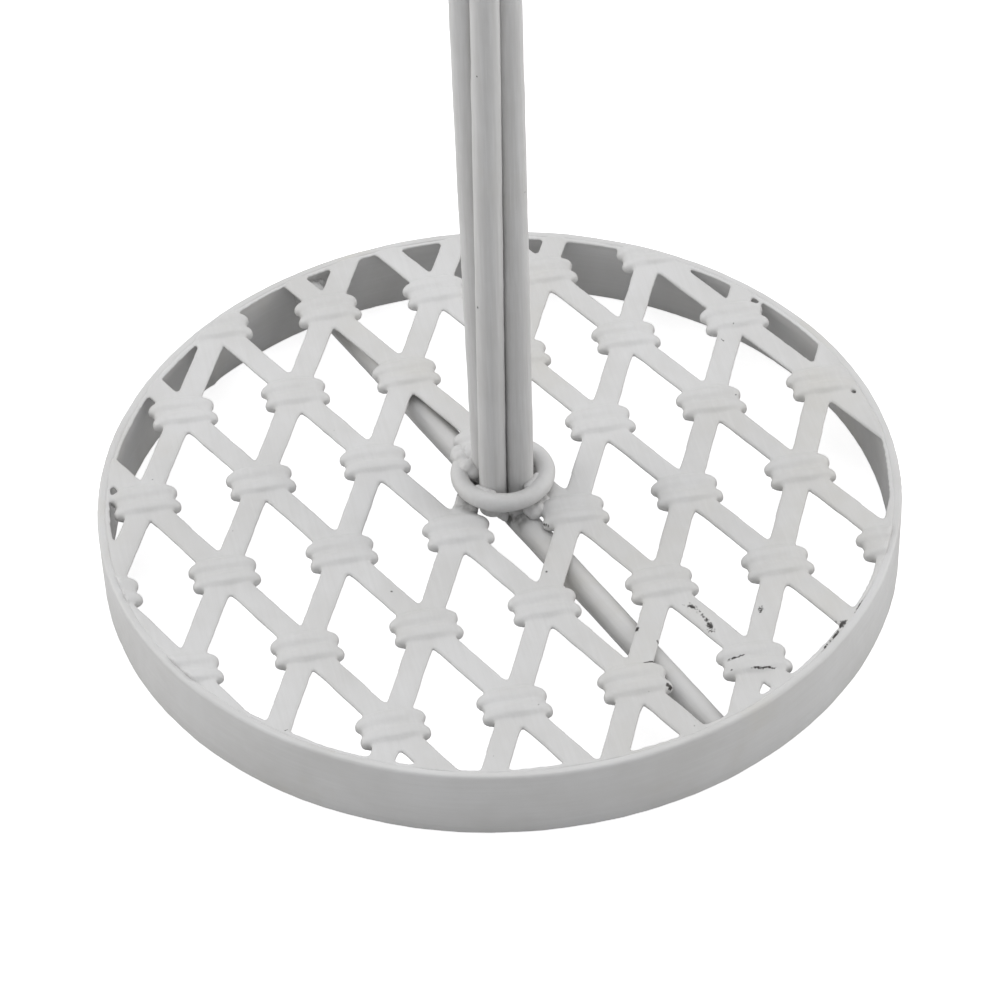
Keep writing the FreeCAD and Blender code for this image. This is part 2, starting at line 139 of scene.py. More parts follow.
def brushed_paint(name, along="z", turned=0.0, layer=None, stained=0.25, streaks=0.3, chipped=None,
                  shade_under_collar=0.0):
    """Off-white oil paint on iron: brush marks one way, soft waves, painted shade in hollows, painted
    highlight on crests.

    along is the axis of the brush marks, after a turn about Z; layer is a UV map in metres to
    use in place of the object's own axes; streaks is how plainly the brush marks show; chipped
    is a point attribute that bares the iron; shade_under_collar is how dark the painted shade is under the
    stem's collar.
    """
    material = bpy.data.materials.new(name)
    material.use_nodes = True
    tree = material.node_tree
    shader = tree.nodes["Principled BSDF"]
    if layer:
        place = add(tree, "UVMap", uv_map=layer).outputs["UV"]
    else:
        place = add(tree, "TexCoord").outputs["Object"]
    turn = add(tree, "Mapping", Vector=place, Rotation=(0, 0, -turned)).outputs["Vector"]
    marks = [820, 820, 820]                       # brush marks about 1.2 mm apart
    marks["xyz".index(along)] = 32                # and 30 mm long
    stretched = add(tree, "Mapping", Vector=turn, Scale=marks).outputs["Vector"]

    stroke = add(tree, "TexNoise", Vector=stretched, Scale=1.0, Detail=3.0, Roughness=0.6).outputs["Fac"]
    wave = add(tree, "TexNoise", Vector=place, Scale=140.0, Detail=2.0).outputs["Fac"]
    grain = add(tree, "TexNoise", Vector=place, Scale=1500.0, Detail=2.0).outputs["Fac"]
    patch = add(tree, "TexNoise", Vector=place, Scale=24.0, Detail=4.0, Roughness=0.6).outputs["Fac"]
    blot = add(tree, "TexNoise", Vector=place, Scale=15.0, Detail=6.0, Roughness=0.62).outputs["Fac"]
    speck = add(tree, "TexNoise", Vector=place, Scale=420.0, Detail=1.0).outputs["Fac"]
    point = add(tree, "NewGeometry").outputs["Pointiness"]

    colour = lay_over(tree, PAINT, PAINT_SHADED, spread_to(tree, patch, 0.38, 0.66))
    colour = lay_over(tree, colour, PAINT_SHADED, spread_to(tree, stroke, 0.48, 0.32, 0.0, streaks))
    colour = lay_over(tree, colour, PALE_PAINT_AND_HIGHLIGHT, spread_to(tree, stroke, 0.50, 0.72, 0.0, 0.6 * streaks))
    # Painted highlight: paler paint on crests and sharp edges, where pointiness is high.
    colour = lay_over(tree, colour, PALE_PAINT_AND_HIGHLIGHT, spread_to(tree, point, 0.515, 0.58, 0.0, 0.7))
    # Painted shade: darker in hollows and creases, where pointiness is low, in a grimy brown.
    colour = lay_over(tree, colour, GRIMY_HOLLOW_SHADE, spread_to(tree, point, 0.485, 0.42, 0.0, 0.5))
    colour = lay_over(tree, colour, STAIN, spread_to(tree, blot, 0.56, 0.74, 0.0, stained))
    # Painted shade under the stem's collar: black patches near the middle of the foot.
    if shade_under_collar:
        colour = lay_over(tree, colour, UNDER_COLLAR_SHADE, under_collar_shade_share(tree, place, shade_under_collar))
    colour = lay_over(tree, colour, BARE_IRON, bared_share(tree, speck, grain, chipped))
    tree.links.new(colour, shader.inputs["Base Color"])
    tree.links.new(spread_to(tree, wave, 0.3, 0.7, 0.36, 0.50), shader.inputs["Roughness"])

    bump = add(tree, "Bump", Strength=0.55, Distance=0.35 * MM, Height=wave).outputs["Normal"]
    bump = add(tree, "Bump", Strength=0.60, Distance=(0.08 + 0.1 * streaks) * MM, Height=stroke,
               Normal=bump).outputs["Normal"]
    bump = add(tree, "Bump", Strength=0.30, Distance=0.05 * MM, Height=grain, Normal=bump).outputs["Normal"]
    tree.links.new(bump, shader.inputs["Normal"])
    return material


def finish_piece(piece, material, *nodes):
    """Paint a piece, smooth its faces, fix it to the stand and let it stand for its CAD nodes."""
    piece.data.materials.clear()
    piece.data.materials.append(material)
    for face in piece.data.polygons:
        face.use_smooth = True
    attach(piece, "root")
    if nodes:
        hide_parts(*nodes)
    return piece


def put_in_scene(name, mesh):
    """Make an object of a mesh and put it in the scene."""
    thing = bpy.data.objects.new(name, mesh)
    bpy.context.scene.collection.objects.link(thing)
    return thing


def band_section(low, high):
    """Return (inwards, height) points round a flat band's section, its four edges rounded."""
    reach = BAND_THICKNESS - BAND_EDGE
    centres = ((reach, high - BAND_EDGE, 0), (BAND_EDGE, high - BAND_EDGE, 1),
               (BAND_EDGE, low + BAND_EDGE, 2), (reach, low + BAND_EDGE, 3))
    points = []
    for inwards, height, quarter in centres:
        for step in range(6):
            angle = (quarter + step / 5) * math.pi / 2
            points.append((inwards + BAND_EDGE * math.cos(angle), height + BAND_EDGE * math.sin(angle)))
        if quarter % 2:
            way = -1 if quarter == 1 else 1
            for step in range(1, 8):
                wall = (high - low - 2 * BAND_EDGE) * step / 8
                points.append((points[-1][0], centres[quarter][1] + way * wall))
    return points


def rolled_band(name, node, seam_angle):
    """Sweep the band's section round the hoop that a CAD node gives, slightly uneven, with its seam."""
    low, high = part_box(node)
    radius = high.x
    section = band_section(low.z, high.z)
    verts, faces = [], []
    for step in range(BAND_STEPS):
        angle = seam_angle + 2 * math.pi * step / BAND_STEPS
        out = Vector((math.cos(angle), math.sin(angle), 0))
        from_seam = min(step, BAND_STEPS - step) * 2 * math.pi * radius / BAND_STEPS
        seam = SEAM_RISE * math.exp(-(from_seam / SEAM_WIDTH * 2) ** 2)
        for inwards, height in section:
            spot = out * 22 + UP * (height * 130)
            sag = BAND_WOBBLE * (0.5 + 0.5 * noise.noise(spot * 0.35))
            dent = 0.12 * MM * noise.noise(spot * 1.9)
            inner = inwards > BAND_THICKNESS / 2
            depth = inwards + sag + dent + (seam if inner else 0)
            if height > high.z - BAND_EDGE:
                height -= 0.2 * MM * (0.5 + 0.5 * noise.noise(out * 9))
            verts.append(out * (radius - max(depth, 0)) + UP * height)
    count = len(section)
    for step in range(BAND_STEPS):
        ahead = (step + 1) % BAND_STEPS
        for n in range(count):
            m = (n + 1) % count
            faces.append((step * count + n, step * count + m, ahead * count + m, ahead * count + n))
    mesh = bpy.data.meshes.new(name)
    mesh.from_pydata(verts, [], faces)
    run = mesh.uv_layers.new(name="along_band")
    lengths = [0.0]
    for (a, b), (c, d) in zip(section, section[1:] + section[:1]):
        lengths.append(lengths[-1] + math.hypot(c - a, d - b))
    pitch = 2 * math.pi * radius / BAND_STEPS
    for face in mesh.polygons:
        step, n = divmod(face.index, count)
        corners = ((step, n), (step, n + 1), (step + 1, n + 1), (step + 1, n))
        for loop, (along, across) in zip(face.loop_indices, corners):
            run.data[loop].uv = (along * pitch, lengths[across])
    mesh.validate()
    bm = bmesh.new()
    bm.from_mesh(mesh)
    bmesh.ops.recalc_face_normals(bm, faces=bm.faces)
    bm.to_mesh(mesh)
    bm.free()
    return put_in_scene(name, mesh)


band_paint = brushed_paint("paint_brushed_round_band", along="x", layer="along_band", stained=0.45)
foot_rim = rolled_band("foot_rim", "base_rim", math.radians(128))
finish_piece(foot_rim, band_paint, "base_rim")


# ---- Lattice ---------------------------------------------------------------------------------
# One flat iron casting that fills the rim, flush with its top edge and welded to it all round.
# Two sets of half-round bars cross in long diamonds, and every crossing is cast as if it were
# bound with two turns of cane.  It is coped round the four rods of the stem.

rim_low, rim_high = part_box("base_rim")
LATTICE_TOP = rim_high.z
LATTICE_THICKNESS = 3.5 * MM
LATTICE_REACH = rim_high.x - BAND_THICKNESS + 0.7 * MM      # into the weld at the rim
CELL_SIDE = 43.9 * MM
CELL_HALF_ANGLE = math.radians(25.56)
FIRST_CROSSING = Vector((1.4 * MM, 21.7 * MM))
BAR_WIDTH = 8.6 * MM
HALF_CROWN = ((0.42, 0.99), (0.80, 0.95), (0.95, 0.89), (1, 0.78), (0.86, 0.45), (0.50, 0.0))
BAR_CROWN = [(-side, share) for side, share in reversed(HALF_CROWN)] + [(0, 1.0)] + list(HALF_CROWN)
TURN_LENGTH = 22.0 * MM         # one turn of the binding, end to end
TURN_WIDTH = 7.4 * MM
TURN_PITCH = 6.8 * MM
TURN_TOP = 1.35 * MM            # above the bars
TURN_LEAN = math.radians(-2.5)
PAD_TOP = 0.45 * MM             # of the filled ground between and under the turns
WEB_DEPTH = 1.3 * MM            # of the webs that round off the narrow corners
LAND_WIDTH = 2.3 * MM           # of the casting's edge along the rim
LAND_STEPS = 360
GRAIN_SIZE = 0.62 * MM          # the fineness of the casting's mesh
FACES_KEPT = 0.42               # the share of its faces left at the end

half_across = CELL_SIDE * math.sin(CELL_HALF_ANGLE)
half_along = CELL_SIDE * math.cos(CELL_HALF_ANGLE)


def within(point, reach):
    """Pull a point straight back inside a circle about the origin."""
    flat = math.hypot(point.x, point.y)
    if flat > reach:
        point = Vector((point.x * reach / flat, point.y * reach / flat, point.z))
    return point


def casting_edge(bm):
    """Lay the narrow land along which the casting is welded to the rim."""
    low, high = LATTICE_TOP - 1.5 * MM, LATTICE_TOP - 0.25 * MM
    rings = []
    for step in range(LAND_STEPS):
        angle = 2 * math.pi * step / LAND_STEPS
        way = Vector((math.cos(angle), math.sin(angle), 0))
        inside = LATTICE_REACH - LAND_WIDTH - 0.5 * MM * noise.noise(way * 6)
        section = ((inside, high), (LATTICE_REACH, high), (LATTICE_REACH, low), (inside + 0.6 * MM, low))
        rings.append([bm.verts.new(way * reach + UP * height) for reach, height in section])
    for here, after in zip(rings, rings[1:] + rings[:1]):
        for n in range(4):
            bm.faces.new((here[n], after[n], after[n - 1], here[n - 1]))


def lattice_bar(bm, way, offset):
    """Lay one half-round bar right across the circle."""
    along = Vector((way * math.sin(CELL_HALF_ANGLE), math.cos(CELL_HALF_ANGLE), 0))
    aside = Vector((math.cos(CELL_HALF_ANGLE), -way * math.sin(CELL_HALF_ANGLE), 0))
    rings = []
    for side, share in BAR_CROWN:
        line = max(min(offset + side * BAR_WIDTH / 2, LATTICE_REACH - 0.3 * MM), 0.3 * MM - LATTICE_REACH)
        reach = math.sqrt(LATTICE_REACH ** 2 - line ** 2)
        height = LATTICE_TOP - LATTICE_THICKNESS * (1 - share)
        middle = aside * line + UP * height
        rings.append((bm.verts.new(middle - along * reach), bm.verts.new(middle + along * reach)))
    for (a, b), (c, d) in zip(rings, rings[1:] + rings[:1]):
        bm.faces.new((a, b, d, c))
    bm.faces.new([a for a, b in rings])
    bm.faces.new([b for a, b in reversed(rings)])


def pillow(bm, centre, half_sizes, squareness, lean, floor, reach):
    """Add a rounded block with a flat underside, turned about Z and kept inside the circle."""
    made = bmesh.ops.create_icosphere(bm, subdivisions=4, radius=1)
    turn = Matrix.Rotation(lean, 3, "Z")
    for vert in made["verts"]:
        x, y, z = vert.co
        swell = (abs(x) ** squareness + abs(y) ** squareness + abs(z) ** squareness) ** (-1 / squareness)
        spot = turn @ Vector([c * swell * half for c, half in zip((x, y, z), half_sizes)]) + centre
        spot.z = max(spot.z, floor)
        vert.co = within(spot, reach)


def crossings():
    """List where the bars cross inside the rim."""
    found = []
    for column in range(-9, 10):
        for row in range(-5, 6):
            if (column + row) % 2 == 0:
                spot = FIRST_CROSSING + Vector((column * half_across, row * half_along))
                if spot.length < LATTICE_REACH + 5 * MM:
                    found.append(spot)
    return found


def bake_modifiers(thing):
    """Replace an object's mesh by what its modifiers make of it."""
    depsgraph = bpy.context.evaluated_depsgraph_get()
    mesh = bpy.data.meshes.new_from_object(thing.evaluated_get(depsgraph))
    thing.modifiers.clear()
    thing.data = mesh
    return thing


def melt_together(thing, fineness, rounds):
    """Fuse a piece's overlapping parts into one skin and soften it as paint does."""
    fuse = thing.modifiers.new("fuse", "REMESH")
    fuse.mode = "VOXEL"
    fuse.voxel_size = fineness
    soften = thing.modifiers.new("soften", "SMOOTH")
    soften.factor = 0.5
    soften.iterations = rounds
    return bake_modifiers(thing)


def crossing_shapes(bm):
    """Bind every crossing: a web that fills the sharp corners, and two turns side by side."""
    web = BAR_WIDTH / 2 / math.sin(CELL_HALF_ANGLE) + 2.2 * MM
    low = LATTICE_TOP - LATTICE_THICKNESS
    for spot in crossings():
        chance = noise.noise(Vector((spot.x * 310, spot.y * 170, 4.0)))
        lean = TURN_LEAN + math.radians(5) * chance
        centre = Vector((spot.x, spot.y, low + 0.9 * MM))
        pillow(bm, centre, (2.0 * MM, web, 2.4 * MM), 2.2, 0, LATTICE_TOP - WEB_DEPTH, LATTICE_REACH)
        pad = (TURN_LENGTH / 2 - 1.3 * MM, TURN_PITCH / 2 + TURN_WIDTH / 2 - 0.4 * MM,
               LATTICE_TOP + PAD_TOP - centre.z)
        pillow(bm, centre, pad, 3.2, lean, low, LATTICE_REACH)
        rise = LATTICE_TOP + TURN_TOP - centre.z
        for side in (1, -1):
            place = centre + Vector((side * -0.15 * MM, side * TURN_PITCH / 2, 0))
            size = (TURN_LENGTH / 2, TURN_WIDTH / 2, rise)
            pillow(bm, place, size, 2.5, lean, low, LATTICE_REACH)


def coping_tool(height, rod_places, rod_reach):
    """Make short upright cylinders that stand where the rods pass."""
    bm = bmesh.new()
    for place in rod_places:
        move = Matrix.Translation(Vector((place.x, place.y, height)))
        bmesh.ops.create_cone(bm, cap_ends=True, segments=48, radius1=rod_reach, radius2=rod_reach,
                              depth=12 * MM, matrix=move)
    mesh = bpy.data.meshes.new("coping")
    bm.to_mesh(mesh)
    bm.free()
    return put_in_scene("coping", mesh)


casting = bmesh.new()
spacing = CELL_SIDE * math.sin(2 * CELL_HALF_ANGLE)
for way in (1, -1):
    aside = Vector((math.cos(CELL_HALF_ANGLE), -way * math.sin(CELL_HALF_ANGLE)))
    for number in range(-5, 6):
        offset = FIRST_CROSSING.dot(aside) + number * spacing
        if abs(offset) < LATTICE_REACH + BAR_WIDTH / 4:
            lattice_bar(casting, way, offset)
casting_edge(casting)
crossing_shapes(casting)
casting_mesh = bpy.data.meshes.new("bound_lattice")
casting.to_mesh(casting_mesh)
casting.free()
bound_lattice = put_in_scene("bound_lattice", casting_mesh)
melt_together(bound_lattice, GRAIN_SIZE, 5)
facing = [vert.normal.copy() for vert in bound_lattice.data.vertices]
for vert, normal in zip(bound_lattice.data.vertices, facing):
    spot = vert.co / MM
    swell = 0.16 * noise.noise(spot * 0.11) + 0.07 * noise.noise(spot * 0.33)
    vert.co += normal * (swell * MM)
    vert.co.z = max(vert.co.z, LATTICE_TOP - LATTICE_THICKNESS)

# Where knocks and rust have bared the iron: places on the lattice in millimetres, each with the
# length and width of the mark and the way that it runs, in degrees from X.
KNOCKS = ((45.2, -70.4, 5, 1.3, -35), (47.2, -74.5, 8, 0.9, -62), (48.6, -79.4, 5, 1.9, -75),
          (48.4, -82.6, 2.4, 1.5, -40), (26.8, -76.1, 2.4, 1.7, -50), (32.4, -74.6, 6, 0.5, 85),
          (31.6, -83.5, 8, 0.6, -78), (26.6, -90.9, 5, 0.9, 10), (29.3, -91.0, 1.8, 1.5, 0),
          (30.0, -102, 2.2, 1.6, -50), (31.8, -105.6, 8, 0.6, -62), (66, -77.6, 3.2, 1.9, 60),
          (52.4, -96.0, 6, 0.7, 0), (60, -102.8, 7, 0.8, -10), (88.8, -89.6, 4.5, 1.6, 45),
          (85.2, -93.9, 5, 1.1, 48), (80.7, -98.0, 7, 0.6, 50), (96.4, -83.0, 7, 0.8, 50),
          (86.0, -88.0, 2.2, 1.3, 0), (-6.3, -98.8, 1.8, 1.1, 0), (9.4, -20.5, 5, 0.6, -50))


def mark_knocks(piece, name):
    """Store, at each point of a piece, how near it lies to a knock: 1 at its middle, 0 beyond it."""
    shares = [0.0] * len(piece.data.vertices)
    for x, y, length, width, angle in KNOCKS:
        turn = math.radians(angle)
        along = Vector((math.cos(turn), math.sin(turn)))
        for n, vert in enumerate(piece.data.vertices):
            dx, dy = vert.co.x / MM - x, vert.co.y / MM - y
            if abs(dx) + abs(dy) < length + width + 2 and vert.co.z > LATTICE_TOP - 2 * MM:
                run = (dx * along.x + dy * along.y) / (length / 2)
                side = (dx * along.y - dy * along.x) / (width / 2)
                shares[n] = max(shares[n], 1.15 - 0.55 * math.hypot(run, side))
    layer = piece.data.attributes.new(name, "FLOAT", "POINT")
    layer.data.foreach_set("value", shares)


mark_knocks(bound_lattice, "bared")
# The casting's paint carries painted shade under the stem's collar.
cast_paint = brushed_paint("paint_brushed_on_casting", along="y", stained=0.20, chipped="bared", shade_under_collar=0.9)


# ---- Stem rods -------------------------------------------------------------------------------
# Four round iron rods stand on the crossbar as one bundle and turn a sixth of a turn on the way
# up.  Above the upper collar each bends out and up again, to end inside the hoop.

ROD_COUNT = 4
ROD_RADIUS = 4.4 * MM
BUNDLE_RADIUS = 9 * MM / math.sqrt(2)                       # rods 9 mm apart, middle to middle
FOOT_ANGLE = math.radians(45)
STEM_TWIST = math.radians(60)
BEND_START = 400 * MM
ROD_SIDES = 24

stem_low, stem_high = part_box("lower_collar")
STEM_X = (stem_low.x + stem_high.x) / 2
hoop_low, hoop_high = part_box("top_hoop")
rod_low, rod_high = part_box("stem_rod_1")
BEND_END = hoop_low.z


def stem_spot(angle, reach, height):
    """Return a point by its angle and distance from the stem's own axis."""
    return Vector((STEM_X + reach * math.cos(angle), reach * math.sin(angle), height))


def rod_angle(number, height):
    """Return the angle at which a rod stands in the bundle at a height."""
    share = min((height - rod_low.z) / (BEND_START - rod_low.z), 1)
    return FOOT_ANGLE + number * math.pi / 2 + share * STEM_TWIST


def rod_line(number):
    """List points up the middle of one rod: twisted run, two even arcs outwards, upright end."""
    points = []
    steps = 96
    for step in range(steps):
        height = rod_low.z + (BEND_START - rod_low.z) * step / steps
        points.append(stem_spot(rod_angle(number, height), BUNDLE_RADIUS, height))
    angle = rod_angle(number, BEND_START)
    wall = hoop_high.x - BAND_THICKNESS - ROD_RADIUS
    reach = math.sqrt(wall ** 2 - (STEM_X * math.sin(angle)) ** 2) - STEM_X * math.cos(angle)
    out, rise = reach - BUNDLE_RADIUS, BEND_END - BEND_START
    turn = 2 * math.atan2(out, rise)
    bend = rise / (2 * math.sin(turn))
    for step in range(41):
        share = step / 20
        lean = turn * min(share, 2 - share)
        aside, up = bend * (1 - math.cos(lean)), bend * math.sin(lean)
        if share > 1:
            aside, up = out - aside, rise - up
        points.append(stem_spot(angle, BUNDLE_RADIUS + aside, BEND_START + up))
    for step in range(1, 7):
        height = BEND_END + (rod_high.z - BEND_END) * step / 6
        points.append(stem_spot(angle, reach, height))
    return points


def round_bar(name, line, radius, seed, unevenness=0.13 * MM, end_round=0.8 * MM):
    """Sweep a painted round bar along a line of points, a little uneven, with eased ends."""
    verts, faces = [], []
    tangents = []
    for n, point in enumerate(line):
        ahead, behind = line[min(n + 1, len(line) - 1)], line[max(n - 1, 0)]
        tangents.append((ahead - behind).normalized())
    side = tangents[0].orthogonal().normalized()
    rings = [(line[0], tangents[0], radius - end_round)]
    rings += [(point, tangent, radius) for point, tangent in zip(line, tangents)]
    rings.append((line[-1], tangents[-1], radius - end_round))
    rings[1] = (line[0] + tangents[0] * end_round, tangents[0], radius)
    rings[-2] = (line[-1] - tangents[-1] * end_round, tangents[-1], radius)
    for point, tangent, reach in rings:
        side = (side - tangent * side.dot(tangent)).normalized()
        other = tangent.cross(side)
        for k in range(ROD_SIDES):
            angle = 2 * math.pi * k / ROD_SIDES
            out = side * math.cos(angle) + other * math.sin(angle)
            spot = point + out * radius
            lump = noise.noise(spot * 90 + UP * seed) + 0.5 * noise.noise(spot * 260 + UP * seed)
            verts.append(point + out * (reach + unevenness * lump))
    for n in range(len(rings) - 1):
        for k in range(ROD_SIDES):
            m = (k + 1) % ROD_SIDES
            low, high = n * ROD_SIDES, (n + 1) * ROD_SIDES
            faces.append((low + k, low + m, high + m, high + k))
    faces.append(tuple(reversed(range(ROD_SIDES))))
    last = (len(rings) - 1) * ROD_SIDES
    faces.append(tuple(range(last, last + ROD_SIDES)))
    mesh = bpy.data.meshes.new(name)
    mesh.from_pydata(verts, [], faces)
    return put_in_scene(name, mesh)


rod_paint = brushed_paint("paint_brushed_up_rods", along="z", stained=0.30, streaks=0.9)
for number in range(ROD_COUNT):
    rod = round_bar("upright_rod_%d" % (number + 1), rod_line(number), ROD_RADIUS, 7 * number)
    finish_piece(rod, rod_paint, "stem_rod_%d" % (number + 1))

# The casting is coped round the rods only now that their places are known.
coping = coping_tool(
    LATTICE_TOP, [stem_spot(rod_angle(k, LATTICE_TOP), BUNDLE_RADIUS, 0) for k in range(ROD_COUNT)],
    ROD_RADIUS + 0.05 * MM)
cope = bound_lattice.modifiers.new("cope", "BOOLEAN")
cope.operation = "DIFFERENCE"
cope.solver = "FAST"
cope.object = coping
bake_modifiers(bound_lattice)
bpy.data.objects.remove(coping)
thin = bound_lattice.modifiers.new("thin", "DECIMATE")
thin.ratio = FACES_KEPT
bake_modifiers(bound_lattice)
finish_piece(bound_lattice, cast_paint, "lattice_disc")


# ---- Crossbar --------------------------------------------------------------------------------
# One round bar from wall to wall of the rim, close under the lattice.  The stem stands on it,
# and its ends are welded to the inside of the rim.

CROSSBAR_ANGLE = math.radians(-71.3)
bar_low, bar_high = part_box("crossbar")
CROSSBAR_RADIUS = 4.5 * MM
crossbar_way = Vector((math.cos(CROSSBAR_ANGLE), math.sin(CROSSBAR_ANGLE), 0))
bar_middle = Vector((STEM_X, 0, bar_low.z + CROSSBAR_RADIUS))


def reach_of_wall(start, way):
    """Return how far a level line runs from start to the inside of the rim."""
    wall = rim_high.x - BAND_THICKNESS
    flat = Vector((start.x, start.y, 0))
    return math.sqrt(wall ** 2 - flat.length_squared + flat.dot(way) ** 2) - flat.dot(way)


ahead_reach = reach_of_wall(bar_middle, crossbar_way)
behind_reach = reach_of_wall(bar_middle, -crossbar_way)
bar_line = []
for step in range(81):
    along = -behind_reach + (behind_reach + ahead_reach) * step / 80
    bar_line.append(bar_middle + crossbar_way * along)
foot_crossbar = round_bar("foot_crossbar", bar_line, CROSSBAR_RADIUS, 31, 0.10 * MM, 0.3 * MM)
# The crossbar's paint carries painted shade under the stem's collar.
bar_paint = brushed_paint("paint_brushed_along_crossbar", along="x", turned=CROSSBAR_ANGLE, stained=0.40,
                          shade_under_collar=0.9)
finish_piece(foot_crossbar, bar_paint, "crossbar")


# ---- Welds -----------------------------------------------------------------------------------
# Every joint is a short bead of arc weld, left as it ran and painted over: the crossbar's ends,
# the rods' feet, both collars and the rods' tops.

WELD_GRAIN = 0.38 * MM


def run_bead(name, runs, seed, *nodes):
    """Melt a row of lumps along each run (points and a lump size) into one rippled bead."""
    bm = bmesh.new()
    for line, size in runs:
        for n, point in enumerate(line):
            made = bmesh.ops.create_icosphere(bm, subdivisions=2, radius=size)
            jog = noise.noise_vector(point * 900 + UP * (seed + n)) * (size * 0.22)
            grow = 1 + 0.25 * noise.noise(point * 700 + UP * seed)
            for vert in made["verts"]:
                vert.co = vert.co * grow + point + jog
    mesh = bpy.data.meshes.new(name)
    bm.to_mesh(mesh)
    bm.free()
    bead = put_in_scene(name, mesh)
    melt_together(bead, WELD_GRAIN, 4)
    return finish_piece(bead, weld_paint, *nodes)


weld_paint = brushed_paint("paint_over_welds", along="z", stained=0.45)

end_runs = []
for way in (crossbar_way, -crossbar_way):
    wall_spot = bar_middle + way * (reach_of_wall(bar_middle, way) - 0.6 * MM)
    aside = Vector((-way.y, way.x, 0))
    ring = []
    for step in range(15):
        angle = math.radians(150 + 240 * step / 14)
        ring.append(wall_spot + (aside * math.cos(angle) + UP * math.sin(angle)) * CROSSBAR_RADIUS)
    end_runs.append((ring, 1.7 * MM))
run_bead("crossbar_end_beads", end_runs, 3, "crossbar_end_welds")

foot_runs = []
for side in (1, -1):
    aside = Vector((-crossbar_way.y, crossbar_way.x, 0)) * (side * CROSSBAR_RADIUS)
    line = [bar_middle + aside + UP * (1.6 * MM) + crossbar_way * (step * 2 * MM) for step in range(-4, 5)]
    foot_runs.append((line, 1.9 * MM))
run_bead("rod_foot_beads", foot_runs, 11, "stem_foot_welds")


# ---- Collars ---------------------------------------------------------------------------------
# Two rings of round wire, bent round the stem and closed.  The lower one lies on the lattice
# and hides where the rods go through; the upper one holds them before they part.  Both are
# tacked to the rods, and weld and paint have pooled thickly over and under the lower one.

COLLAR_TUBE = 3 * MM
COLLAR_STEPS = 96
FOOT_MIDDLE = Vector((0, 0, 0))
LUMP_MIDDLE = Vector((1.0, 9.5, 0)) * MM        # of the arc along which the lump over the ring lies
LUMP_SIZE = 2.9 * MM
POOL_SIZE = 2.5 * MM


def wire_collar(name, node, seed, unevenness):
    """Sweep a wire round the stem where a CAD node lies, thicker here and thinner there."""
    low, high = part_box(node)
    centre = (low + high) / 2
    major = (high.x - low.x) / 2 - COLLAR_TUBE
    verts, faces = [], []
    for step in range(COLLAR_STEPS):
        angle = 2 * math.pi * step / COLLAR_STEPS
        out = Vector((math.cos(angle), math.sin(angle), 0))
        for k in range(ROD_SIDES):
            turn = 2 * math.pi * k / ROD_SIDES
            rim = out * math.cos(turn) + UP * math.sin(turn)
            spot = centre + out * major + rim * COLLAR_TUBE
            lump = noise.noise(spot * 120 + UP * seed) + 0.4 * noise.noise(spot * 420 + UP * seed)
            verts.append(spot + rim * (unevenness * lump))
    for step in range(COLLAR_STEPS):
        ahead = (step + 1) % COLLAR_STEPS
        for k in range(ROD_SIDES):
            m = (k + 1) % ROD_SIDES
            faces.append((step * ROD_SIDES + k, ahead * ROD_SIDES + k,
                          ahead * ROD_SIDES + m, step * ROD_SIDES + m))
    mesh = bpy.data.meshes.new(name)
    mesh.from_pydata(verts, [], faces)
    return put_in_scene(name, mesh)


def tack_runs(node):
    """List the tacks of one collar: a short run in the nook between the ring and each rod."""
    low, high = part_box(node)
    middle = (low.z + high.z) / 2
    inner = (high.x - low.x) / 2 - 2 * COLLAR_TUBE
    runs = []
    for number in range(ROD_COUNT):
        angle = rod_angle(number, middle)
        line = [stem_spot(angle + math.radians(turn), inner + 0.4 * MM, middle + 1.1 * MM)
                for turn in (-14, -7, 0, 7, 14)]
        runs.append((line, 1.5 * MM))
    return runs


def arc_run(centre, bend, first, last, count, height, arch=0.0):
    """List points along a level arc from one angle to another, arched up midway if so asked."""
    line = []
    for step in range(count):
        angle = math.radians(first + (last - first) * step / (count - 1))
        lift = arch * math.sin(math.pi * (step + 1) / (count + 1))
        out = Vector((math.cos(angle), math.sin(angle), 0))
        line.append(centre + out * bend + UP * (height + lift))
    return line


collar_paint = brushed_paint("paint_on_collars", along="z", stained=0.30)
for node, name, seed in (("lower_collar", "stem_collar_low", 5), ("upper_collar", "stem_collar_high", 17)):
    finish_piece(wire_collar(name, node, seed, 0.22 * MM), collar_paint, node)
lump = arc_run(LUMP_MIDDLE, 11.6 * MM, 162, 222, 6, 29.0 * MM, 1.4 * MM)
lump += arc_run(LUMP_MIDDLE, 9.7 * MM, 158, 199, 2, 28.5 * MM)
pool = arc_run(FOOT_MIDDLE, 14.8 * MM, -59, -38, 4, 23.6 * MM)
pool += arc_run(FOOT_MIDDLE, 16.8 * MM, -60, -41, 4, 23.2 * MM)
pool_runs = [(lump, LUMP_SIZE), (pool, POOL_SIZE)]
run_bead("pooled_weld_by_collar", pool_runs, 37)
run_bead("low_collar_tacks", tack_runs("lower_collar"), 23, "lower_collar_welds")
run_bead("high_collar_tacks", tack_runs("upper_collar"), 29, "upper_collar_welds")


# ---- Top hoop --------------------------------------------------------------------------------
# The same band as the foot's rim, rolled a little smaller.  The umbrellas lean against it.  The
# rods end inside it, each held by an upright bead on both sides.

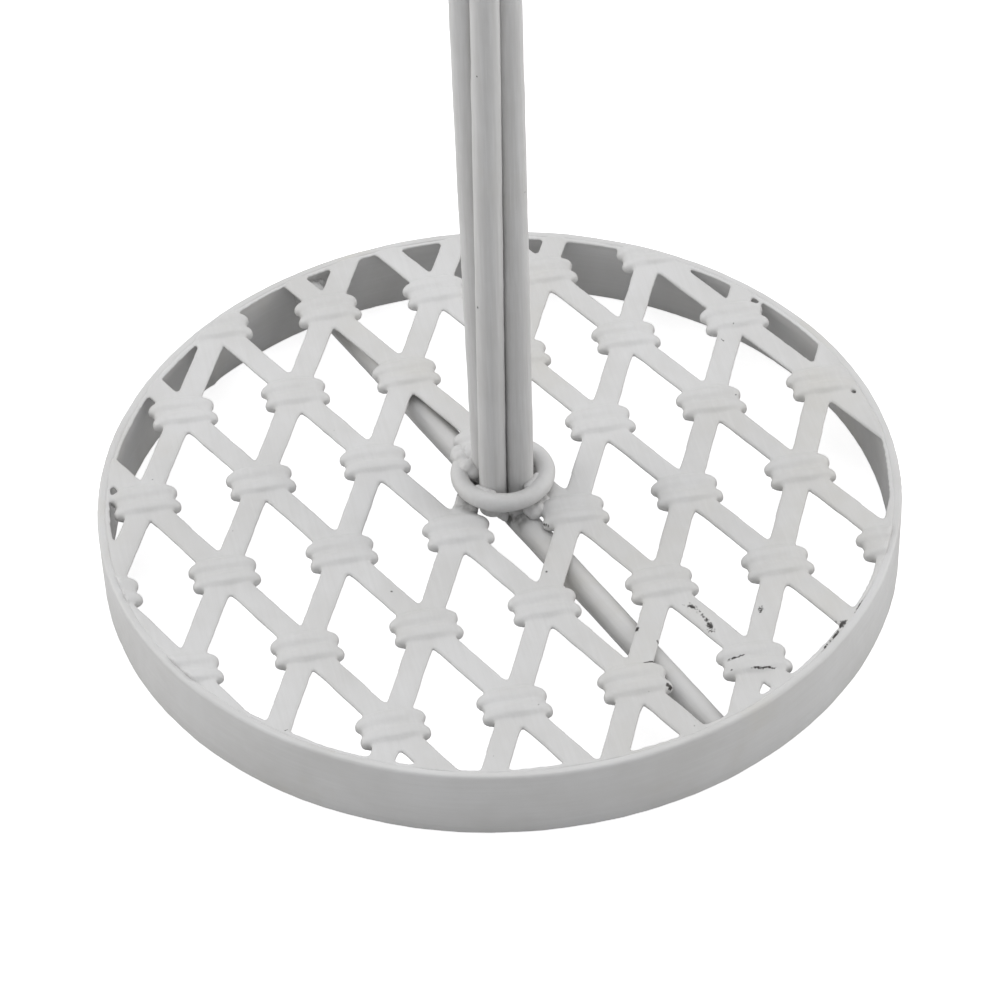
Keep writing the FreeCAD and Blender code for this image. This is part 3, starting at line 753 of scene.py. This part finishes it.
top_band = rolled_band("top_band", "top_hoop", math.radians(64))
finish_piece(top_band, band_paint, "top_hoop")
top_runs = []
for number in range(ROD_COUNT):
    angle = rod_angle(number, BEND_START)
    out = Vector((math.cos(angle), math.sin(angle), 0))
    aside = Vector((-out.y, out.x, 0))
    end = rod_line(number)[-1]
    for side in (1, -1):
        nook = Vector((end.x, end.y, 0)) + aside * (side * ROD_RADIUS * 0.78) + out * (ROD_RADIUS * 0.80)
        line = [nook + UP * (hoop_low.z + (4 + 1.5 * step) * MM) for step in range(11)]
        top_runs.append((line, 1.35 * MM))
run_bead("hoop_beads", top_runs, 41, "hoop_welds")


# ---- Studio ----------------------------------------------------------------------------------
# A white paper floor, a broad cool softbox overhead and behind, a warmer one at each side, and
# an even, dim light from all round.

FLOOR_SIZE = 12.0
FLOOR_GLOW = 0.75               # keeps the paper white to the eye; it lights nothing
SIDE_REACH = 1.9                # of the softboxes from the middle of the stand
COOL = (0.972, 0.980, 1.0)
WARM = (1.0, 0.985, 0.955)
VIEW_AZIMUTH = math.radians(11.54)

floor_mesh = bpy.data.meshes.new("studio_floor")
half = FLOOR_SIZE / 2
corners = [(-half, -half, 0), (half, -half, 0), (half, half, 0), (-half, half, 0)]
floor_mesh.from_pydata(corners, [], [(0, 1, 2, 3)])
studio_floor = put_in_scene("studio_floor", floor_mesh)
floor_paint = bpy.data.materials.new("white_paper")
floor_paint.use_nodes = True
paper = floor_paint.node_tree.nodes["Principled BSDF"]
paper.inputs["Base Color"].default_value = (0.72, 0.72, 0.72, 1)
paper.inputs["Roughness"].default_value = 0.9
paper.inputs["Specular IOR Level"].default_value = 0.1
paper.inputs["Emission Color"].default_value = (1, 1, 1, 1)
seen = add(floor_paint.node_tree, "LightPath").outputs["Is Camera Ray"]
glow = spread_to(floor_paint.node_tree, seen, 0.0, 1.0, 0.0, FLOOR_GLOW)
floor_paint.node_tree.links.new(glow, paper.inputs["Emission Strength"])
floor_mesh.materials.append(floor_paint)


def softbox(name, place, aim, width, height, power, tint):
    """Hang one soft rectangular light and point it."""
    lamp = bpy.data.lights.new(name, "AREA")
    lamp.color = tint
    lamp.shape = "RECTANGLE"
    lamp.size, lamp.size_y = width, height
    lamp.energy = power
    thing = bpy.data.objects.new(name, lamp)
    bpy.context.scene.collection.objects.link(thing)
    thing.location = place
    thing.rotation_mode = "QUATERNION"
    thing.rotation_quaternion = (Vector(place) - Vector(aim)).to_track_quat("Z", "Y")
    return thing


away = Vector((math.sin(VIEW_AZIMUTH), math.cos(VIEW_AZIMUTH), 0))
right = Vector((away.y, -away.x, 0))
middle = Vector((0, 0, 0.15))
left = middle - right * SIDE_REACH + away * 0.3 + UP * 0.7
beside = middle + right * SIDE_REACH + away * 0.3 + UP * 0.7
softbox("overhead_softbox", middle + away * 0.6 + UP * SIDE_REACH, middle, 2.6, 2.0, 22, COOL)
softbox("left_softbox", left, middle, 1.8, 1.6, 17, WARM)
softbox("right_softbox", beside, middle, 1.8, 1.6, 16, WARM)

world = bpy.data.worlds.new("studio_room")
bpy.context.scene.world = world
world.use_nodes = True
world.node_tree.nodes["Background"].inputs["Color"].default_value = (0.97, 0.98, 1.0, 1)
world.node_tree.nodes["Background"].inputs["Strength"].default_value = 0.50


# ---- Camera ----------------------------------------------------------------------------------
# It looks down on the foot from in front, a little tilted, and crops the stem.

CAMERA_HEIGHT_ANGLE = math.radians(42.91)
CAMERA_DISTANCE = 1.271
CAMERA_TILT = math.radians(2.2)
CAMERA_AIM = Vector((3.98 * MM, 18.39 * MM, 0))
CAMERA_LENS = 138.1

back = UP * math.sin(CAMERA_HEIGHT_ANGLE) - away * math.cos(CAMERA_HEIGHT_ANGLE)
over = right.cross(-back)
image_right = right * math.cos(CAMERA_TILT) - over * math.sin(CAMERA_TILT)
image_up = right * math.sin(CAMERA_TILT) + over * math.cos(CAMERA_TILT)
lens = bpy.data.cameras.new("camera")
lens.lens = CAMERA_LENS
lens.sensor_width = 36
lens.clip_start, lens.clip_end = 0.05, 50
camera = bpy.data.objects.new("camera", lens)
bpy.context.scene.collection.objects.link(camera)
spot = CAMERA_AIM + back * CAMERA_DISTANCE
camera.matrix_world = Matrix.Translation(spot) @ Matrix((image_right, image_up, back)).transposed().to_4x4()
bpy.context.scene.camera = camera
bpy.context.scene.view_settings.view_transform = "Standard"
